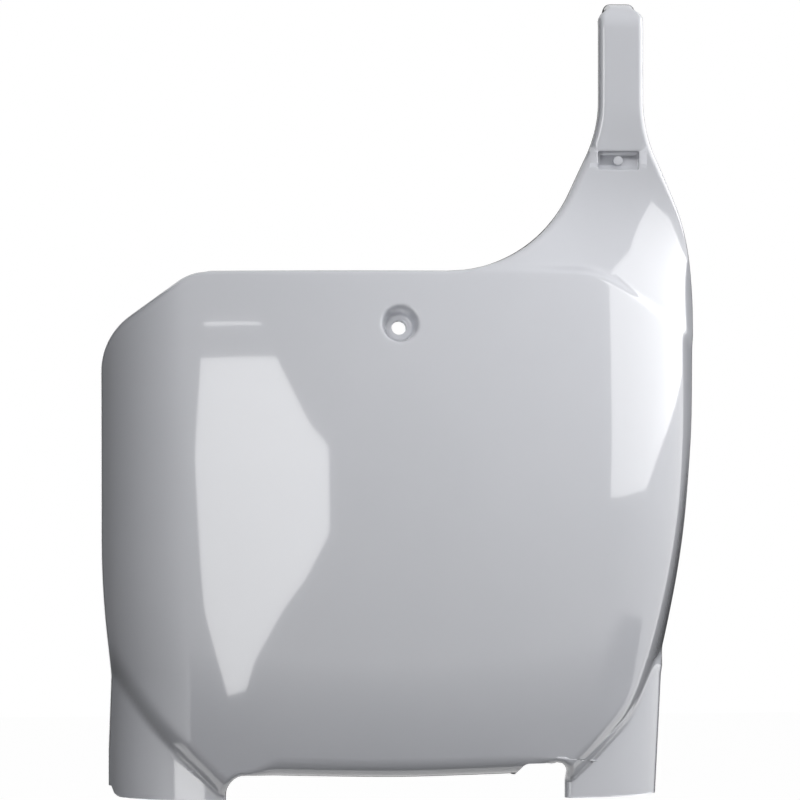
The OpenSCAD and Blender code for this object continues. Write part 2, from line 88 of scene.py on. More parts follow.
# Fork legs and the valleys beside them
LEG_Y = 0.0085
LEG_CROWN_R = 0.100
LEG_TURN_W = 0.026
LEG_TURN_R = 0.040
LEG_FLAT_X = 0.070
LEG_FALL = 0.9
LEG_FALL_GAP = 0.001
LEG_BLEND = 0.0012
LEG_TOP_Z = -0.154
LEG_TOP_FALL = 1.2
LEG_Z = 0.2125
LEG_IN_X = 0.077
LEFT_LEG_Z = -0.192
LEG_BEND_R = 0.060
LEFT_LEG_W = 0.1293
RIGHT_LEG_W = 0.1217
FOOT_R = 0.0045
LEG_HOLLOW_R = 0.0085
LEG_HOLLOW_RUN = 0.020
NOTCH_END_R = 0.005
VALLEY_SUM_L = 0.2903
VALLEY_SUM_R = 0.2835
VALLEY_BEND_L = 0.037
VALLEY_BEND_R = 0.009
VALLEY_BEND_X = 0.104
VALLEY_W = 0.008
VALLEY_D = 0.0065

# Bottom notch
NOTCH_X = 0.053
NOTCH_H = 0.005
NOTCH_R = 0.004
NOTCH_SLANT = 0.8
NOTCH_LEAD = 0.002
SAG = 0.001
SAG_R = 0.900

# Arm and its step
STEP_D = 0.0032
STEP_W = 0.0045
STEP_LEAD = 0.001
CREASE_X = 0.0923
CREASE_SLOPE = math.radians(33.4)
CREASE_SOFT = 0.006
CREASE_SIDE_IN = 0.001
ARM_SPREAD = 0.002
ARM_STEP_X = 0.050
ARM_STEP_RUN = 0.040
ARM_LOW_Z = -0.030
ARM_BEND_Z = 0.015
STRAP_X = 0.0944
STRAP_W = 0.0205
STRAP_Z = 0.112
STRAP_Y = 0.024
INTO_STRAP = 0.020
STRAP_FLAT_Z = STRAP_Z - 0.010
ARM_HOLLOW_R = 0.066
ARM_SHOULDER_R = 0.103
NECK_R = 0.060
ARM_LEAN = math.radians(25.9)
HOLLOW_X = 0.0629
SHOULDER_Z = 0.034

# Strap hook
HOOK_R = 0.01196
HOOK_Z = 0.138
RETURN_L = 0.036
TONGUE_IN = 0.0032
TONGUE_START = math.radians(60)

# Bolt dimple
BOLT_D = 0.0066
SEAT_T = 0.003
DIMPLE_H = 0.008
DIMPLE_FLOOR_D = 0.0117
DIMPLE_MOUTH_D = 0.0166
DIMPLE_CLEAR = 0.0035
DIMPLE_REACH_Y = 0.02

# Peg pocket
POCKET_W = 0.019
POCKET_H = 0.0082
POCKET_D = 0.004
POCKET_X = 0.1035
POCKET_Z = 0.0777
POCKET_T = 0.0018
POCKET_R = 0.0006
POCKET_CLEAR = 0.0011
POCKET_REACH_Y = 0.010
PEG_D = 0.0044
PEG_H = 0.003
PEG_ROUND_R = 0.0004

# Rolled edges
EDGE_R = 0.003
SIDE_R = 0.012
LIP_R = 0.011
LIP_RUN = 0.014
FADE_Z = 0.060
RETURN_FADE = 0.010
TOP_RETURN = 0.007
LIP_RETURN = 0.008
ARM_RETURN = 0.002
EDGE_RETURN = 0.001
CUT_RETURN = 0.0003
RIM_R = 0.0005
RIM_ANGLE = math.radians(60)
TRIM_FADE = 0.001
LEAST_ROLL_R = 0.001
LEAST_RETURN = 0.003
RETURN_SOFT = 0.006
STEEPEST_START = math.radians(80)
START_AT = 0.3

# Finish
GLOSS = 0.07
COOL_WHITE = (0.595, 0.608, 0.65, 1)
PALE_WHITE = (0.615, 0.626, 0.668, 1)
PLASTIC_IOR = 1.49

# Scratches: turn about Y and shift of each family, and how much finer they are across than along
SCUFFS = [(0.4, (0, 0, 0)), (1.3, (3, 1, 2)), (2.5, (7, 2, 5))]
SCUFF_SCALE = (9, 9, 700)

# Camera and floor
CAMERA_AZIMUTH = -5
CAMERA_DISTANCE = 2.0
PIXEL = 0.00045
PICTURE = 800
SENSOR = 0.036
SHIFT_X = 0.00077
SHIFT_Z = -0.032
AIM = Vector((0, 0, -0.05))
FLOOR_SIZE = 6
FLOOR_Z = -0.6

# Corners of the softboxes, in degrees round from the front and up
LEFT_WINDOW = [
    (-38.9, 20.3), (-22.5, 22.1), (-14.8, 13.5), (-10.7, 10.6), (-10.5, -1.5), (-15.8, -8), (-20.1, -11.6),
    (-26.6, -18.3), (-28.8, -22), (-32.8, -22.4), (-37.3, -11.6), (-39.4, 7.9),
]
LEFT_STREAK = [(-38.7, 24.3), (-38.7, 24.8), (-26.1, 26.3), (-26, 25.9)]
RIGHT_WINDOW = [(50, 2.5), (78, 0.5), (88, 2), (110, 3.9), (126, 4), (126, 32), (56, 32), (52, 16)]
ROOM_LIGHT = 0.09
CARD_BLACK = (0.02, 0.02, 0.02, 1)
FLOOR_GREY = (0.3, 0.3, 0.3, 1)
FLOOR_GLOW = 0.96

# Cells of the mesh: FINE for each cell of the CAD grid
FINE = 4
COLS = 42 * FINE
ROWS = 32 * FINE
ARM_COL = 17 * FINE
ARM_ROWS = 18 * FINE
LEG_ROWS = 6 * FINE
LEG_COL_L = 10 * FINE
LEG_COL_R = 33 * FINE
NOTCH_COL = 28 * FINE
ROLL_STEPS = 8
FILLET_STEPS = 40
HOOK_STEPS = 28
PROBE = 0.00005
TOUCH = 0.0001
ROW_CROWD = 0.55
ARM_ROW_POWER = 1.2
LEG_ROW_POWER = 1.1

# How far the finer surface is set back, so that it stays within the CAD's box
INSIDE_BOX = 0.00003

# Front surface at the bolt, with the dimple square to it
LEAN = math.atan(BOW_Z / BOW_R)
MOUTH_Y = -(SEAT_T + DIMPLE_H) * math.cos(LEAN)
MOUTH_Z = (SEAT_T + DIMPLE_H) * math.sin(LEAN)
FRONT_Y = MOUTH_Y - (MOUTH_Z + BOW_Z) ** 2 / (2 * BOW_R) + INSIDE_BOX


def mix(a, b, t):
    return a + (b - a) * t


def ease(a, b, t):
    s = np.clip((t - a) / (b - a), 0, 1)
    return s * s * (3 - 2 * s)


def soft_min(a, b, k):
    h = np.clip(0.5 + (b - a) / (2 * k), 0, 1)
    return mix(b, a, h) - k * h * (1 - h)


def soft_max(a, b, k):
    return -soft_min(-a, -b, k)


def unit(v):
    return v / np.linalg.norm(v)


def fillet(a, b, c, radius):
    """Arc that rounds the corner b of a path."""
    u, v = unit(a - b), unit(c - b)
    half = math.acos(float(u @ v)) / 2
    centre = b + unit(u + v) * radius / math.sin(half)
    start = b + u * radius / math.tan(half) - centre
    turn = (math.pi - 2 * half) * math.copysign(1, start[1] * u[0] - start[0] * u[1])
    angles = np.linspace(0, turn, FILLET_STEPS + 1)[:, None]
    return centre + start * np.cos(angles) + np.array([-start[1], start[0]]) * np.sin(angles)


def rounded(path):
    """Path of (x, z) ends and (x, z, radius) corners, as points."""
    spots = [np.array(p[:2]) for p in path]
    arcs = [fillet(spots[i - 1], spots[i], spots[i + 1], path[i][2]) for i in range(1, len(path) - 1)]
    return np.vstack([spots[0], *arcs, spots[-1]])


def reader(points, axis):
    """Function that reads a path's other coordinate at a place on this axis."""
    order = points[np.argsort(points[:, axis], kind="stable")]
    return lambda t: np.interp(t, order[:, axis], order[:, 1 - axis])


# Edges of the front view
STRAP_END_X = STRAP_X + STRAP_W
LEAN_X = math.tan(ARM_LEAN)
left_x = reader(rounded([
    (0, TOP_Z),
    (-CORNER_X, TOP_Z, CORNER_R),
    (-LEFT_W, CORNER_Z, SHOULDER_R),
    (-LEFT_W, LEFT_BEND_Z, SIDE_BEND_R),
    (-LEFT_FOOT_W, -FOOT_Z, LEFT_FOOT_R),
    (-LEFT_LEG_W, LEFT_LEG_Z, LEG_BEND_R),
    (-LEFT_LEG_W, -LEG_Z),
])[1:], 1)
right_x = reader(rounded([
    (STRAP_END_X, STRAP_Z + INTO_STRAP),
    (STRAP_END_X, SHOULDER_Z + (RIGHT_W - STRAP_END_X) / LEAN_X, NECK_R),
    (RIGHT_W, SHOULDER_Z, ARM_SHOULDER_R),
    (RIGHT_SIDE_W, RIGHT_SIDE_Z, SIDE_BEND_R),
    (RIGHT_BEND_W, RIGHT_BEND_Z, SIDE_BEND_R),
    (RIGHT_FOOT_W, -FOOT_Z, RIGHT_FOOT_R),
    (RIGHT_LEG_W, -LEG_Z),
]), 1)
arm_x = reader(rounded([
    (0, TOP_Z),
    (HOLLOW_X, TOP_Z, ARM_HOLLOW_R),
    (STRAP_X, TOP_Z + (STRAP_X - HOLLOW_X) / LEAN_X, NECK_R),
    (STRAP_X, STRAP_Z + INTO_STRAP),
])[1:], 1)
bottom_z = reader(rounded([
    (-LEG_IN_X, -BOTTOM_Z),
    (0, -BOTTOM_Z - SAG, SAG_R),
    (NOTCH_X, -BOTTOM_Z, NOTCH_R),
    (NOTCH_X + NOTCH_H * NOTCH_SLANT, -BOTTOM_Z + NOTCH_H, NOTCH_R),
    (LEG_IN_X, -BOTTOM_Z + NOTCH_H),
]), 0)
inner_x_l = reader(rounded([
    (-LEG_IN_X + LEG_HOLLOW_RUN, -BOTTOM_Z),
    (-LEG_IN_X, -BOTTOM_Z, LEG_HOLLOW_R),
    (-LEG_IN_X, -LEG_Z),
])[1:], 1)
inner_x_r = reader(rounded([
    (LEG_IN_X - LEG_HOLLOW_RUN, -BOTTOM_Z + NOTCH_H),
    (LEG_IN_X, -BOTTOM_Z + NOTCH_H, NOTCH_END_R),
    (LEG_IN_X, -LEG_Z),
])[1:], 1)


# Front surface: distance behind the bolt seat at places of the front view
def bow(z):
    return (z + BOW_Z) ** 2 / (2 * BOW_R)


def side_w(x, z):
    return np.where(x < 0, -left_x(np.minimum(SIDE_TOP_Z, z)), right_x(np.minimum(0, z)))


def turned(x, start, bow_r, turn_r):
    """Bow of one radius that turns back more sharply, of another radius, from start outwards."""
    sine = start / bow_r
    steepest = math.sin(CHEEK_LEAN)
    a = np.arcsin(np.minimum(steepest, sine + np.maximum(0, x - start) / turn_r))
    beyond = np.maximum(0, x - start - turn_r * (steepest - sine))
    on_bow = bow_r - np.sqrt(bow_r**2 - np.minimum(x, start) ** 2)
    return on_bow + turn_r * (np.sqrt(1 - sine**2) - np.cos(a)) + beyond * math.tan(CHEEK_LEAN)


def cheek(x, w):
    return turned(x, w - CHEEK_W, CROWN_R, CHEEK_R)


def beyond_crease(x, z):
    """Distance past the crease that bounds the raised panel."""
    line = (x - CREASE_X) * math.sin(CREASE_SLOPE) + (z - TOP_Z) * math.cos(CREASE_SLOPE)
    return soft_max(soft_max(line, z - TOP_Z, CREASE_SOFT), x - RIGHT_W + CREASE_SIDE_IN, CREASE_SOFT)


def past_valley(x, z):
    """Distance past the valley between panel and leg."""
    out = np.maximum(0, np.abs(x) - VALLEY_BEND_X)
    bend = np.where(x < 0, VALLEY_BEND_L, VALLEY_BEND_R)
    total = np.abs(x) - z - np.where(x < 0, VALLEY_SUM_L, VALLEY_SUM_R)
    return (total + out * out / (2 * bend)) / np.hypot(1, 1 + out / bend)


def panel(x, z):
    roll = np.maximum(0, past_valley(x, z) + VALLEY_W) / VALLEY_W
    return FRONT_Y + bow(z) + cheek(np.abs(x), side_w(x, z)) + VALLEY_D * roll**2


def arm(x, z):
    low = FRONT_Y + bow(z) + cheek(x, RIGHT_W + ARM_SPREAD)
    low = low + STEP_D * ease(ARM_STEP_X, ARM_STEP_X + ARM_STEP_RUN, x)
    return mix(low, STRAP_Y, ease(ARM_BEND_Z, STRAP_FLAT_Z, z))


def leg(x, z):
    flat_end = side_w(x, z) - LEG_TURN_W - LEG_FLAT_X
    fall = LEG_FALL * np.maximum(0, -past_valley(x, z) - LEG_FALL_GAP)
    fall = fall + LEG_TOP_FALL * np.maximum(0, z - LEG_TOP_Z)
    return LEG_Y + fall + turned(np.abs(x) - LEG_FLAT_X, flat_end, LEG_CROWN_R, LEG_TURN_R)


def front(x, z):
    x, z = np.asarray(x, float), np.asarray(z, float)
    board = panel(x, z)
    step = ease(-STEP_LEAD, STEP_W - STEP_LEAD, beyond_crease(x, z))
    on_arm = np.where((x < 0) | (z < ARM_LOW_Z), 0, step)
    return np.where(on_arm > 0, mix(board, arm(x, z), on_arm), soft_min(board, leg(x, z), LEG_BLEND))


def on_front(places):
    """Outer and inner points of the skin at these places of the front view."""
    x, z = np.asarray(places, float).T
    slope_x = (front(x + PROBE, z) - front(x - PROBE, z)) / (2 * PROBE)
    slope_z = (front(x, z + PROBE) - front(x, z - PROBE)) / (2 * PROBE)
    normal = np.stack([-slope_x, np.ones_like(x), -slope_z], 1)
    outer = np.stack([x, front(x, z), z], 1)
    return outer, outer + WALL * normal / np.linalg.norm(normal, axis=1)[:, None]


# Rows of the grid, and columns along the top and the bottom edge
def row_z(i):
    t = np.asarray(i) / ROWS
    return TOP_Z - (TOP_Z + BOTTOM_Z) * (t - ROW_CROWD * np.sin(2 * np.pi * t) / (2 * np.pi))


def arm_z(a):
    return TOP_Z + (STRAP_Z - TOP_Z) * (np.asarray(a) / ARM_ROWS) ** ARM_ROW_POWER


def leg_row_z(top, end, b):
    return mix(top, end, (np.asarray(b) / LEG_ROWS) ** LEG_ROW_POWER)


TOP_START = -CORNER_X + CORNER_R * math.tan(math.atan((TOP_Z - CORNER_Z) / (LEFT_W - CORNER_X)) / 2)
ARM_X = HOLLOW_X - ARM_HOLLOW_R * math.tan(math.pi / 4 - ARM_LEAN / 2)
LIP_START = -LEG_IN_X + LEG_HOLLOW_R
LIP_END = LEG_IN_X - NOTCH_END_R


def stretch(x, z, radius=EDGE_R, back=EDGE_RETURN, full=0.0, trim=0.0):
    """Stretch of the outline: places, roll radius, depth behind it, share of full depth, roll cut off."""
    return np.stack(np.broadcast_arrays(x, z, radius, back, full, trim), 1)


def right_stretch(z):
    radius = mix(SIDE_R, EDGE_R, ease(0, FADE_Z, z))
    return stretch(right_x(z), z, radius, ARM_RETURN, 1 - ease(RETURN_FADE, FADE_Z + RETURN_FADE, z))


def left_stretch(z):
    side = ease(TOP_Z, SIDE_TOP_Z, z)
    return stretch(left_x(z), z, mix(EDGE_R, SIDE_R, side), TOP_RETURN, side)


def lip_stretch(x):
    z = bottom_z(x)
    run_out = ease(LIP_END - LIP_RUN, LIP_END, x)
    full = ease(LIP_START, LIP_START + LIP_RUN, x) * (1 - run_out)
    trim = np.maximum(0, z + BOTTOM_Z - NOTCH_H * run_out)
    flange = mix(EDGE_RETURN, LIP_RETURN, full)
    back = mix(flange, CUT_RETURN, ease(0, TRIM_FADE, trim))
    return stretch(x, z, mix(EDGE_R, LIP_R, full), back, 0.0, trim)


def down(first, last):
    return np.arange(first, last - 1, -1)


def up(first, last):
    return np.arange(first, last + 1)


HIGH, LOW = arm_z(down(ARM_ROWS, 1)), row_z(up(0, ROWS))
LEG_DOWN = leg_row_z(-BOTTOM_Z, -LEG_Z, up(1, LEG_ROWS))
LEG_UP = leg_row_z(-BOTTOM_Z + NOTCH_H, -LEG_Z, down(LEG_ROWS, 1))
LIP_X = np.interp(
    down(LEG_COL_R, LEG_COL_L), [LEG_COL_L, NOTCH_COL, LEG_COL_R], [LIP_START, NOTCH_X - NOTCH_LEAD, LIP_END]
)
ARM_BACK = mix(TOP_RETURN, ARM_RETURN, ease(TOP_Z, FADE_Z, HIGH[::-1]))
LOOP = np.vstack([
    right_stretch(HIGH),
    right_stretch(LOW),
    right_stretch(LEG_DOWN),
    stretch(np.linspace(RIGHT_LEG_W, LEG_IN_X, COLS - LEG_COL_R + 1)[1:-1], -LEG_Z, 0.0, 0.0),
    stretch(inner_x_r(LEG_UP), LEG_UP),
    lip_stretch(LIP_X),
    stretch(inner_x_l(LEG_DOWN), LEG_DOWN),
    stretch(np.linspace(-LEG_IN_X, -LEFT_LEG_W, LEG_COL_L + 1)[1:-1], -LEG_Z, 0.0, 0.0),
    left_stretch(leg_row_z(-BOTTOM_Z, -LEG_Z + FOOT_R, down(LEG_ROWS, 1))),
    left_stretch(LOW[::-1]),
    stretch(mix(TOP_START, ARM_X, up(1, ARM_COL) / ARM_COL), TOP_Z, EDGE_R, TOP_RETURN),
    stretch(arm_x(HIGH[::-1]), HIGH[::-1], EDGE_R, ARM_BACK),
])

# Places in the loop where one stretch meets the next
RIGHT_M = ARM_ROWS
RLEG_M = RIGHT_M + ROWS
RFOOT_M = RLEG_M + LEG_ROWS
RINNER_M = RFOOT_M + COLS - LEG_COL_R
LIP_M = RINNER_M + LEG_ROWS
LINNER_M = LIP_M + LEG_COL_R - LEG_COL_L
LFOOT_M = LINNER_M + LEG_ROWS
LLEG_M = LFOOT_M + LEG_COL_L
LEFT_M = LLEG_M + LEG_ROWS
TOP_M = LEFT_M + ROWS
ARMLEFT_M = TOP_M + ARM_COL
LAST = len(LOOP) - 1
STRIPS = [(0, RFOOT_M), (RINNER_M, LFOOT_M), (LLEG_M, LAST)]


PLACE = LOOP[:, :2]
ALONG = np.gradient(PLACE, axis=0)
OUT = np.stack([-ALONG[:, 1], ALONG[:, 0]], 1)
OUT[[0, RFOOT_M, LFOOT_M]] = (1, 0)
OUT[[LAST, RINNER_M, LLEG_M]] = (-1, 0)
OUT[LIP_M : LINNER_M + 1] = (0, -1)
OUT /= np.linalg.norm(OUT, axis=1)[:, None]
ROLL_R = LOOP[:, 2]


def start_angle():
    x, z = (PLACE - OUT * ROLL_R[:, None] * START_AT).T
    rise_x = (front(x + PROBE, z) - front(x - PROBE, z)) / (2 * PROBE)
    rise_z = (front(x, z + PROBE) - front(x, z - PROBE)) / (2 * PROBE)
    return np.clip(np.arctan(rise_x * OUT[:, 0] + rise_z * OUT[:, 1]), 0, STEEPEST_START)


START_A = start_angle()
END_A = np.arcsin(1 - LOOP[:, 5] / np.maximum(LEAST_ROLL_R, ROLL_R))
INSET = PLACE - OUT * (ROLL_R * (np.sin(END_A) - np.sin(START_A)))[:, None]
INSET_Y = front(*INSET.T)
TO_BACK_D = CHEEK_BACK_Y - INSET_Y - ROLL_R * (np.cos(START_A) - np.cos(END_A))
RETURN_D = mix(LOOP[:, 3], soft_max(LEAST_RETURN, TO_BACK_D, RETURN_SOFT), LOOP[:, 4])


def ring(m, share, back=0.0):
    """Outer and inner points of the rolled edge at this share of its turn."""
    angle = mix(START_A[m], END_A[m], share)
    reach = ROLL_R[m] * (np.sin(angle) - np.sin(START_A[m])) + back * np.cos(angle)
    x, z = (INSET[m] + OUT[m] * reach[:, None]).T
    y = INSET_Y[m] + ROLL_R[m] * (np.cos(START_A[m]) - np.cos(angle)) + back * np.sin(angle)
    outer = np.stack([x, y, z], 1)
    inward = np.stack([-OUT[m, 0] * np.sin(angle), np.cos(angle), -OUT[m, 1] * np.sin(angle)], 1)
    return outer, outer + WALL * inward


def share_of(row):
    return ((row[:, 0] - row[0, 0]) / (row[-1, 0] - row[0, 0]))[:, None]


def patch(first, end, left, right):
    """Rows of places filled in between four edges."""
    u0, u1 = share_of(first), share_of(end)
    rows = []
    for v, a, b in zip(np.linspace(0, 1, len(left)), left, right):
        above = first - mix(first[0], first[-1], u0)
        below = end - mix(end[0], end[-1], u1)
        rows.append(mix(a, b, mix(u0, u1, v)) + (1 - v) * above + v * below)
    return rows


def line(a, b, n):
    return mix(a, b, np.linspace(0, 1, n + 1)[:, None])


def round_foot(row):
    """Left leg's lower edge, rounded up at its outer end."""
    off = FOOT_R - np.minimum(FOOT_R, row[:, 0] - row[0, 0])
    return np.stack([row[:, 0], -LEG_Z + FOOT_R - np.sqrt(FOOT_R**2 - off**2)], 1)


class Skin:
    """Surface that grows row by row, each vertex with its place on the skin's inner side."""

    def __init__(self):
        self.bm = bmesh.new()
        self.inner = self.bm.verts.layers.float_vector.new("inner")

    def put(self, verts, points):
        for v, outer, inner in zip(verts, *points):
            v.co = outer
            v[self.inner] = Vector(inner)

    def grid(self, rows):
        """Rows of vertices at these places of the front."""
        bmesh.ops.create_grid(self.bm, x_segments=len(rows[0]) - 1, y_segments=len(rows) - 1, size=1)
        order = sorted(self.bm.verts, key=lambda v: (-round(v.co.y, 6), v.co.x))
        wide = len(rows[0])
        made = [order[i * wide : (i + 1) * wide] for i in range(len(rows))]
        for verts, places in zip(made, rows):
            self.put(verts, on_front(places))
        return made

    def extend(self, chain, points, closed=False):
        """New row of vertices beyond this one, at these outer and inner points."""
        ends = chain[1:] + chain[:1] if closed else chain[1:]
        edges = [self.bm.edges.get(pair) for pair in zip(chain, ends)]
        made = bmesh.ops.extrude_edge_only(self.bm, edges=edges)["geom"]
        fresh = {v for v in made if isinstance(v, bmesh.types.BMVert)}
        row = [next(e.other_vert(v) for e in v.link_edges if e.other_vert(v) in fresh) for v in chain]
        self.put(row, points)
        return row

    def rim(self, inside):
        """Cuts a hole in the skin and returns its rim in order, from its leftmost vertex."""
        doomed = [v for v in self.bm.verts if inside(v.co)]
        gone = set(doomed)
        around = {e for v in doomed for f in v.link_faces for e in f.edges if not gone & set(e.verts)}
        bmesh.ops.delete(self.bm, geom=doomed, context="VERTS")
        left = {e for e in around if e.is_boundary}
        verts = [min({v for e in left for v in e.verts}, key=lambda v: tuple(v.co))]
        while left:
            step = next(e for e in verts[-1].link_edges if e in left)
            left.remove(step)
            verts.append(step.other_vert(verts[-1]))
        return verts[:-1]

    def thicken(self):
        """Closes the skin with its inner side."""
        made = bmesh.ops.extrude_face_region(self.bm, geom=self.bm.faces[:], use_keep_orig=True)["geom"]
        for v in made:
            if isinstance(v, bmesh.types.BMVert):
                v.co = v[self.inner]
        bmesh.ops.recalc_face_normals(self.bm, faces=self.bm.faces[:])


def add_board(skin):
    """Front, arm and legs, with the rolled edges. Returns the section where the strap starts."""
    top_row = np.vstack([
        INSET[TOP_M : ARMLEFT_M + 1],
        line(INSET[ARMLEFT_M], INSET[RIGHT_M], COLS - ARM_COL)[1:],
    ])
    bottom_row = np.vstack([
        line(INSET[LEFT_M], INSET[LINNER_M], LEG_COL_L),
        INSET[LIP_M + 1 : LINNER_M][::-1],
        line(INSET[LIP_M], INSET[RLEG_M], COLS - LEG_COL_R),
    ])
    body = skin.grid(patch(
        top_row, bottom_row, INSET[LEFT_M : TOP_M + 1][::-1], INSET[RIGHT_M : RLEG_M + 1]
    ))
    arm_rows = patch(
        top_row[ARM_COL:], line(INSET[LAST], INSET[0], COLS - ARM_COL),
        INSET[ARMLEFT_M:], INSET[: RIGHT_M + 1][::-1],
    )
    left_rows = patch(
        bottom_row[: LEG_COL_L + 1], round_foot(line(INSET[LLEG_M], INSET[LFOOT_M], LEG_COL_L)),
        INSET[LLEG_M : LEFT_M + 1][::-1], INSET[LINNER_M : LFOOT_M + 1],
    )
    right_rows = patch(
        bottom_row[LEG_COL_R:], line(INSET[RINNER_M], INSET[RFOOT_M], COLS - LEG_COL_R),
        INSET[RINNER_M : LIP_M + 1][::-1], INSET[RLEG_M : RFOOT_M + 1],
    )
    arm_part = grow(skin, body[0][ARM_COL:], arm_rows)
    left_leg = grow(skin, body[-1][: LEG_COL_L + 1], left_rows)
    right_leg = grow(skin, body[-1][LEG_COL_R:], right_rows)
    loop = (
        [row[-1] for row in arm_part[:0:-1]]
        + [row[-1] for row in body]
        + [row[-1] for row in right_leg[1:]]
        + right_leg[-1][-2::-1]
        + [row[0] for row in right_leg[-2:0:-1]]
        + body[-1][LEG_COL_L : LEG_COL_R + 1][::-1]
        + [row[-1] for row in left_leg[1:]]
        + left_leg[-1][-2::-1]
        + [row[0] for row in left_leg[-2:0:-1]]
        + [row[0] for row in body[::-1]]
        + body[0][1 : ARM_COL + 1]
        + [row[0] for row in arm_part[1:]]
    )
    first_side, last_side = [], []
    for first, end in STRIPS:
        m = np.arange(first, end + 1)
        chain = loop[first : end + 1]
        rows = [ring(m, k / ROLL_STEPS) for k in range(1, ROLL_STEPS + 1)]
        rows += [ring(m, 1, RETURN_D[m] * k / 2) for k in (1, 2)]
        for points in rows:
            chain = skin.extend(chain, points)
            first_side.append((chain[0], points[0][0], points[1][0]))
            last_side.append((chain[-1], points[0][-1], points[1][-1]))
    count = ROLL_STEPS + 2
    across = list(zip(arm_part[-1], *on_front(arm_rows[-1])))
    return last_side[:-count - 1:-1] + across + first_side[:count]


def grow(skin, chain, rows):
    made = [chain]
    for places in rows[1:]:
        made.append(skin.extend(made[-1], on_front(places)))
    return made


def add_strap(skin, section):
    """Strap that rises from the arm and hooks back over the crossbar."""
    chain = [part[0] for part in section]
    sides = [np.array([part[k] for part in section]) for k in (1, 2)]
    centre = Vector((0, STRAP_Y + HOOK_R, HOOK_Z))
    middle = STRAP_X + STRAP_W / 2

    def carried(matrix, narrow=0.0):
        turn, shift = np.array(matrix.to_3x3()), np.array(matrix.translation)
        placed = []
        for points in sides:
            across = (points[:, :1] - middle) / (STRAP_W / 2 - 2 * EDGE_R)
            inward = np.clip(across, -1, 1) * TONGUE_IN * narrow
            placed.append((points - inward * (1, 0, 0)) @ turn.T + shift)
        return placed

    for share in np.linspace(0, 1, 9)[1:]:
        chain = skin.extend(chain, carried(Matrix.Translation((0, 0, share * (HOOK_Z - STRAP_Z)))))
    to_hook = Matrix.Translation((0, 0, HOOK_Z - STRAP_Z))
    for k in range(1, HOOK_STEPS + 1):
        angle = math.pi * k / HOOK_STEPS
        about = Matrix.Translation(centre) @ Matrix.Rotation(-angle, 4, "X") @ Matrix.Translation(-centre)
        chain = skin.extend(chain, carried(about @ to_hook, ease(TONGUE_START / 2, TONGUE_START, angle)))
    for share in np.linspace(0, 1, 7)[1:]:
        fall = Matrix.Translation((0, 0, -share * RETURN_L))
        chain = skin.extend(chain, carried(fall @ about @ to_hook, 1.0))


def evened_round(angles):
    """Angles once round, each difference from an even spread replaced by the mean of its neighbours."""
    count = len(angles)
    even = angles[0] + (angles[-1] - angles[0]) * np.arange(count) / (count - 1)
    reach = np.arange(-FINE, FINE + 1)
    return even + np.mean([np.roll(angles - even, k) for k in reach], axis=0)


def add_dimple(skin):
    """Funnel down to the bolt's seat, square to the front, and its hole."""
    axis = np.array([0, -math.cos(LEAN), math.sin(LEAN)])
    side = np.array([1.0, 0, 0])
    rise = np.array([0, math.sin(LEAN), math.cos(LEAN)])
    mouth, floor = DIMPLE_MOUTH_D / 2, DIMPLE_FLOOR_D / 2
    top, hole = SEAT_T + DIMPLE_H, BOLT_D / 2
    clear = mouth + DIMPLE_CLEAR
    back = top - WALL

    def inside(co):
        off = np.array(co)
        return np.linalg.norm(off - axis * (off @ axis)) < clear and abs(co.y) < DIMPLE_REACH_Y

    rim = skin.rim(inside)
    spots = [np.array(v.co) for v in rim]
    angles = evened_round(np.unwrap([math.atan2(p @ rise, p @ side) for p in spots]))
    slant = (mouth - floor) / DIMPLE_H

    # Rings of the funnel: radius and height on the outer and on the inner side
    profile = [
        (mouth + 0.0022, top, mouth + 0.0034, back),
        (mouth + 0.0012, top, mouth + 0.0028, back),
        (mouth + 0.0006, top - 0.0001, mouth + 0.0025, back - 0.0002),
        (mouth + 0.0001, top - 0.0004, mouth + 0.0023, back - 0.0008),
        (mouth - 0.0003, top - 0.0010, mouth + 0.0021, back - 0.0016),
        (mouth - slant * DIMPLE_H / 2, top - DIMPLE_H / 2, mouth + 0.0012, back - 0.0045),
        (floor + slant * 0.0010, SEAT_T + 0.0010, floor + WALL + 0.0002, 0.0010),
        (floor + slant * 0.0004, SEAT_T + 0.0004, floor + WALL, 0.0004),
        (floor - 0.0003, SEAT_T + 0.0001, floor + WALL - 0.0003, 0),
        (floor - 0.0008, SEAT_T, floor + 0.0012, 0),
        (hole + 0.0006, SEAT_T, hole + 0.0012, 0),
        (hole + 0.0002, SEAT_T - 0.0001, hole + 0.0006, 0),
        (hole, SEAT_T - 0.0003, hole, 0),
    ]
    chain = rim
    for radius, height, inner_radius, inner_height in profile:
        around = [side * math.cos(a) + rise * math.sin(a) for a in angles]
        level = np.array([w * radius + axis * top for w in around])
        to_front = front(level[:, 0], level[:, 2]) - level[:, 1]
        outer = np.array([w * radius + axis * height for w in around])
        outer[:, 1] += to_front * (height - SEAT_T) / DIMPLE_H * (height > SEAT_T)
        inner = np.array([w * inner_radius + axis * inner_height for w in around])
        chain = skin.extend(chain, (outer, inner), closed=True)


